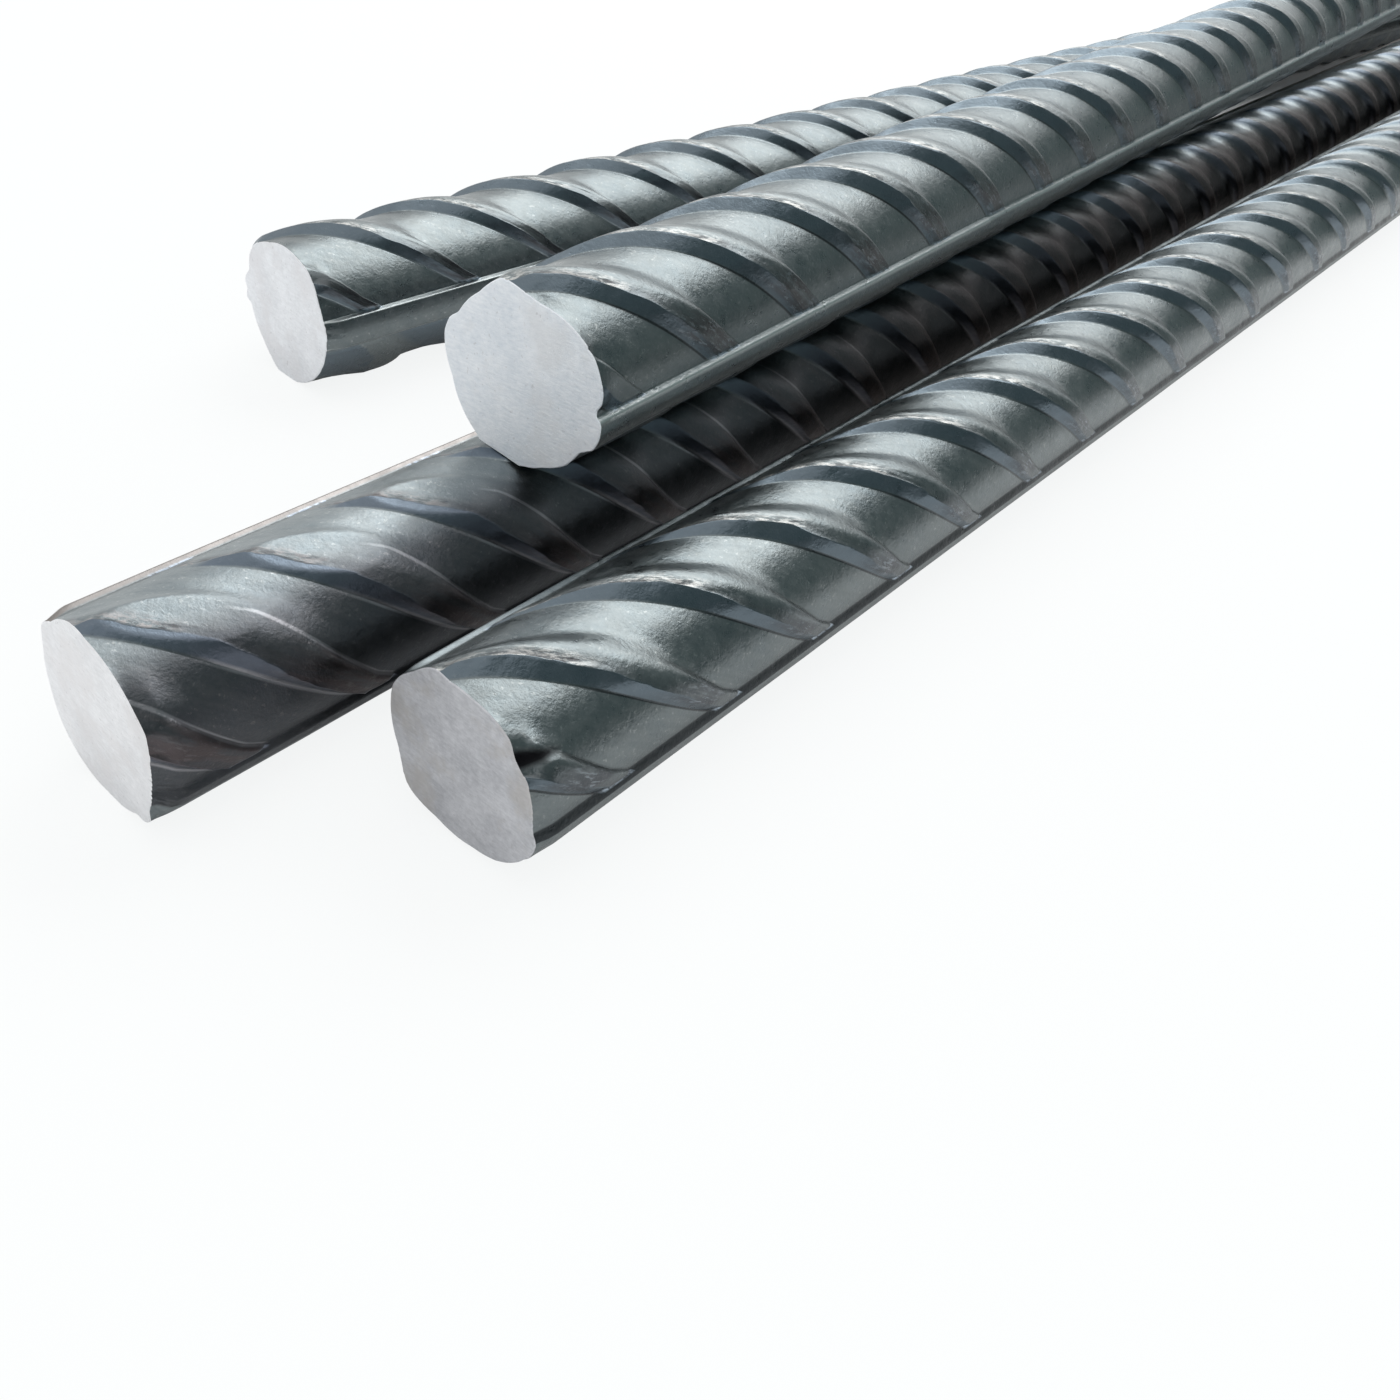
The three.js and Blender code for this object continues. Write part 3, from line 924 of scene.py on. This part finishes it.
LOOKS = {
    "bar_front": (
        dict(PLAIN_LOOK, foot_line=CREASE_SHADE, ledge_side=CREASE_SHADE, ledge_share=0.85,
             pad_colours=((0.075, 0.082, 0.092), (0.25, 0.28, 0.31)),
             crest_stop=(0.20, 0.70), strip_colour=(0.20, 0.23, 0.24)),
        ((0.40, 0.41, 0.44), (0.68, 0.69, 0.72), (0.47, 0.45, 0.43))),
    "bar_middle": (
        dict(shades=((1.42, 1.41, 1.43), (0.55, 0.51, 0.54)), far_shade=(0.60, 0.575, 0.56),
             flank_colours=((0.080, 0.103, 0.130), (0.20, 0.25, 0.30)), foot_line=EDGE_HIGHLIGHT,
             bare_colour=(0.26, 0.25, 0.245), line_width=0.0009, far_line_stop=70 * MM,
             far_line_share=1.0, ledge_side=CREASE_SHADE, ledge_share=0.4,
             pad_colours=((0.185, 0.162, 0.155), (0.26, 0.245, 0.235)),
             crest_stop=(0.15, 0.5), strip_colour=(0.22, 0.21, 0.20), dulled=0.08),
        ((0.76, 0.77, 0.79), (0.96, 0.97, 0.99), (0.80, 0.79, 0.80))),
    "bar_back": (
        dict(PLAIN_LOOK, foot_line=FOOT_HIGHLIGHT, ledge_side=EDGE_HIGHLIGHT, ledge_share=0.5,
             pad_colours=((0.058, 0.056, 0.060), (0.095, 0.098, 0.105)),
             crest_stop=(0.0, 0.35), strip_colour=(0.24, 0.26, 0.26)),
        ((0.72, 0.74, 0.77), (0.92, 0.94, 0.97), (0.76, 0.76, 0.78))),
    "bar_top": (
        dict(PLAIN_LOOK, foot_line=CREASE_SHADE, ledge_side=EDGE_HIGHLIGHT, ledge_share=0.9,
             pad_colours=((0.095, 0.092, 0.094), (0.25, 0.27, 0.29)),
             crest_stop=(0.35, 0.75), strip_colour=(0.22, 0.24, 0.24)),
        ((0.70, 0.76, 0.82), (0.94, 0.97, 1.00), (0.77, 0.79, 0.81))),
}
for bar_node, (scale_look, cut_look) in LOOKS.items():
    bar_piece = build_bar(bar_node)
    bar_piece.data.materials.append(mill_scale("scale_" + bar_node, **scale_look))
    bar_piece.data.materials.append(cut_steel("cut_" + bar_node, *cut_look))
    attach(bar_piece, "root")
    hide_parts(bar_node)


# ------------ floor, light and camera
FLOOR_SIDE = 14.0              # m
FLOOR_COLOUR = (0.84, 0.85, 0.85)
FLOOR_WHITE = (0.985, 1, 1)
FLOOR_GLOW = 0.88              # share of the floor's white that isn't shaded
FLOOR_GLOW_MIRRORED = 0.05     # the same where metal mirrors the floor
WORLD_ON_DULL = 0.85           # the world's strength for surfaces that don't mirror it
UNDER_TOP_BAR = (-0.30, -0.10) # m along X, from open floor to floor in shadow
BESIDE_LINE = 0.004            # m each side of a bar's middle, over which that fades in
LAMP_HEIGHT = 1.6              # m
CARDS_START, CARDS_END = -2.3, 8.1         # m along X
CARD_PLACE = -1.1              # m along Y, in front of the bars
CARD_TOP = 1.6                 # m
LYING_CARD_EDGE = -0.17        # m along Y
LYING_CARD_LIFT = 0.002        # m above the floor
CARD_COLOUR = (0.8, 1.0, 1.0)


def seen_rays(tree):
    """1 for camera rays, and 1 for the rays by which metal and glass show the white too."""
    rays = add(tree, "LightPath").outputs
    mirrored = math_node(tree, "MAXIMUM", rays["Is Glossy Ray"], rays["Is Transmission Ray"])
    return rays["Is Camera Ray"], mirrored


def between_bars(tree):
    """1 on the floor between the middle and the back bar, where only the true shadow is
    to be seen. It fades out towards the near ends."""
    place = add(tree, "NewGeometry").outputs["Position"]
    x, y, _ = parts(tree, place)
    shares = [remap(tree, x, *UNDER_TOP_BAR)]
    for node, side in (("bar_middle", 1), ("bar_back", -1)):
        axis = AXES[node]
        slope = axis.along[1] / axis.along[0]
        start = (axis.near[1] - slope * axis.near[0]) * MM
        line_y = plus(tree, times(tree, x, slope), start)
        past = times(tree, math_node(tree, "SUBTRACT", y, line_y), side)
        shares.append(remap(tree, past, -BESIDE_LINE, BESIDE_LINE))
    return times(tree, shares[0], times(tree, shares[1], shares[2]))


def pale_floor():
    bpy.ops.mesh.primitive_plane_add(size=FLOOR_SIDE, location=(0, 0, 0))
    floor = bpy.context.object
    floor.name = "floor"
    material, tree = new_material("floor_white")
    shade = add(tree, "BsdfDiffuse", {"Color": FLOOR_COLOUR})
    glow = add(tree, "Emission", {"Color": FLOOR_WHITE, "Strength": 1.0})
    direct, mirrored = seen_rays(tree)
    share = plus(tree, times(tree, direct, FLOOR_GLOW),
                 times(tree, mirrored, FLOOR_GLOW_MIRRORED))
    open_floor = math_node(tree, "SUBTRACT", 1.0, between_bars(tree))
    mixed = add(tree, "MixShader", {0: times(tree, share, open_floor), 1: shade.outputs[0],
                                    2: glow.outputs[0]})
    finish_material(tree, mixed)
    floor.data.materials.append(material)


def world_light():
    world = bpy.data.worlds.new("studio")
    world.use_nodes = True
    tree = world.node_tree
    tree.nodes.clear()
    seen = math_node(tree, "MAXIMUM", *seen_rays(tree))
    strength = remap(tree, seen, 0, 1, WORLD_ON_DULL, 1.0)
    sky = add(tree, "Background", {"Color": FULL, "Strength": strength})
    add(tree, "OutputWorld", {"Surface": sky.outputs[0]})
    bpy.context.scene.world = world


def soft_box(name, near, far, front, back, turned, radiance):
    """A soft box over the bars. They get their bright upper band from it."""
    light = bpy.data.lights.new(name, "AREA")
    light.shape = "RECTANGLE"
    light.size, light.size_y = far - near, back - front
    light.energy = radiance * math.pi * light.size * light.size_y
    lamp = new_object(name, light)
    lamp.location = ((far + near) / 2, (front + back) / 2, LAMP_HEIGHT)
    lamp.rotation_euler = (0, 0, math.radians(turned))
    lamp.visible_camera = False


def dark_card(name, lower, upper, strength):
    """A dark card out of the camera's sight, for the metal to mirror. lower and upper are
    where its two long edges lie across the bars and how high."""
    mesh = bpy.data.meshes.new(name)
    corners = [(CARDS_START, *lower), (CARDS_END, *lower), (CARDS_END, *upper),
               (CARDS_START, *upper)]
    mesh.from_pydata(corners, [], [(0, 1, 2, 3)])
    card = new_object(name, mesh)
    material, tree = new_material(name)
    glow = add(tree, "Emission", {"Color": CARD_COLOUR, "Strength": strength})
    finish_material(tree, glow)
    mesh.materials.append(material)
    for ray in ("camera", "diffuse", "shadow"):
        setattr(card, "visible_" + ray, False)


IMAGE_SIDE = 1400              # pixels, of the picture this camera is matched to
FOCAL_PIXELS = 1376.0
SENSOR = 36.0                  # mm
CAMERA_HEADING = 32.6          # degrees from +X towards +Y
CAMERA_DOWN = 38.8             # degrees below level
CAMERA_TILT = -8.83            # degrees about the line of sight
CAMERA_X, CAMERA_Y = -104.9, -105.8        # mm from the front bar's near end
CAMERA_HEIGHT = 152.0          # mm above the floor


def camera():
    view = bpy.data.cameras.new("camera")
    view.sensor_width = SENSOR
    view.lens = FOCAL_PIXELS / IMAGE_SIDE * SENSOR
    view.clip_start = 0.01
    heading, down = math.radians(CAMERA_HEADING), math.radians(CAMERA_DOWN)
    ahead = Vector((math.cos(heading) * math.cos(down), math.sin(heading) * math.cos(down),
                    -math.sin(down)))
    right = ahead.cross(Vector((0, 0, 1))).normalized()
    tilt = Matrix.Rotation(math.radians(CAMERA_TILT), 3, ahead)
    right = tilt @ right
    above = right.cross(ahead)
    eye = new_object("camera", view)
    bar_x, bar_y, _ = AXES["bar_front"].near
    place = (bar_x + CAMERA_X, bar_y + CAMERA_Y, CAMERA_HEIGHT)
    turn = Matrix((right, above, -ahead)).transposed().to_4x4()
    eye.matrix_world = Matrix.Translation(Vector(place) * MM) @ turn
    bpy.context.scene.camera = eye


pale_floor()
world_light()
soft_box("soft_box_near", near=0.3, far=2.55, front=-0.68, back=1.55, turned=6, radiance=2.8)
soft_box("soft_box_far", near=2.55, far=3.7, front=0.3, back=1.9, turned=0, radiance=1.25)
dark_card("front_card", (CARD_PLACE, 0), (CARD_PLACE, CARD_TOP), strength=0.27)
# A dark strip lying on the floor, seen only in the metal: painted shade of the floor near the
# bars.
dark_card("floor_shade_strip", (CARD_PLACE, LYING_CARD_LIFT), (LYING_CARD_EDGE, LYING_CARD_LIFT),
          strength=0.1)
camera()
bpy.context.scene.view_settings.view_transform = "Standard"
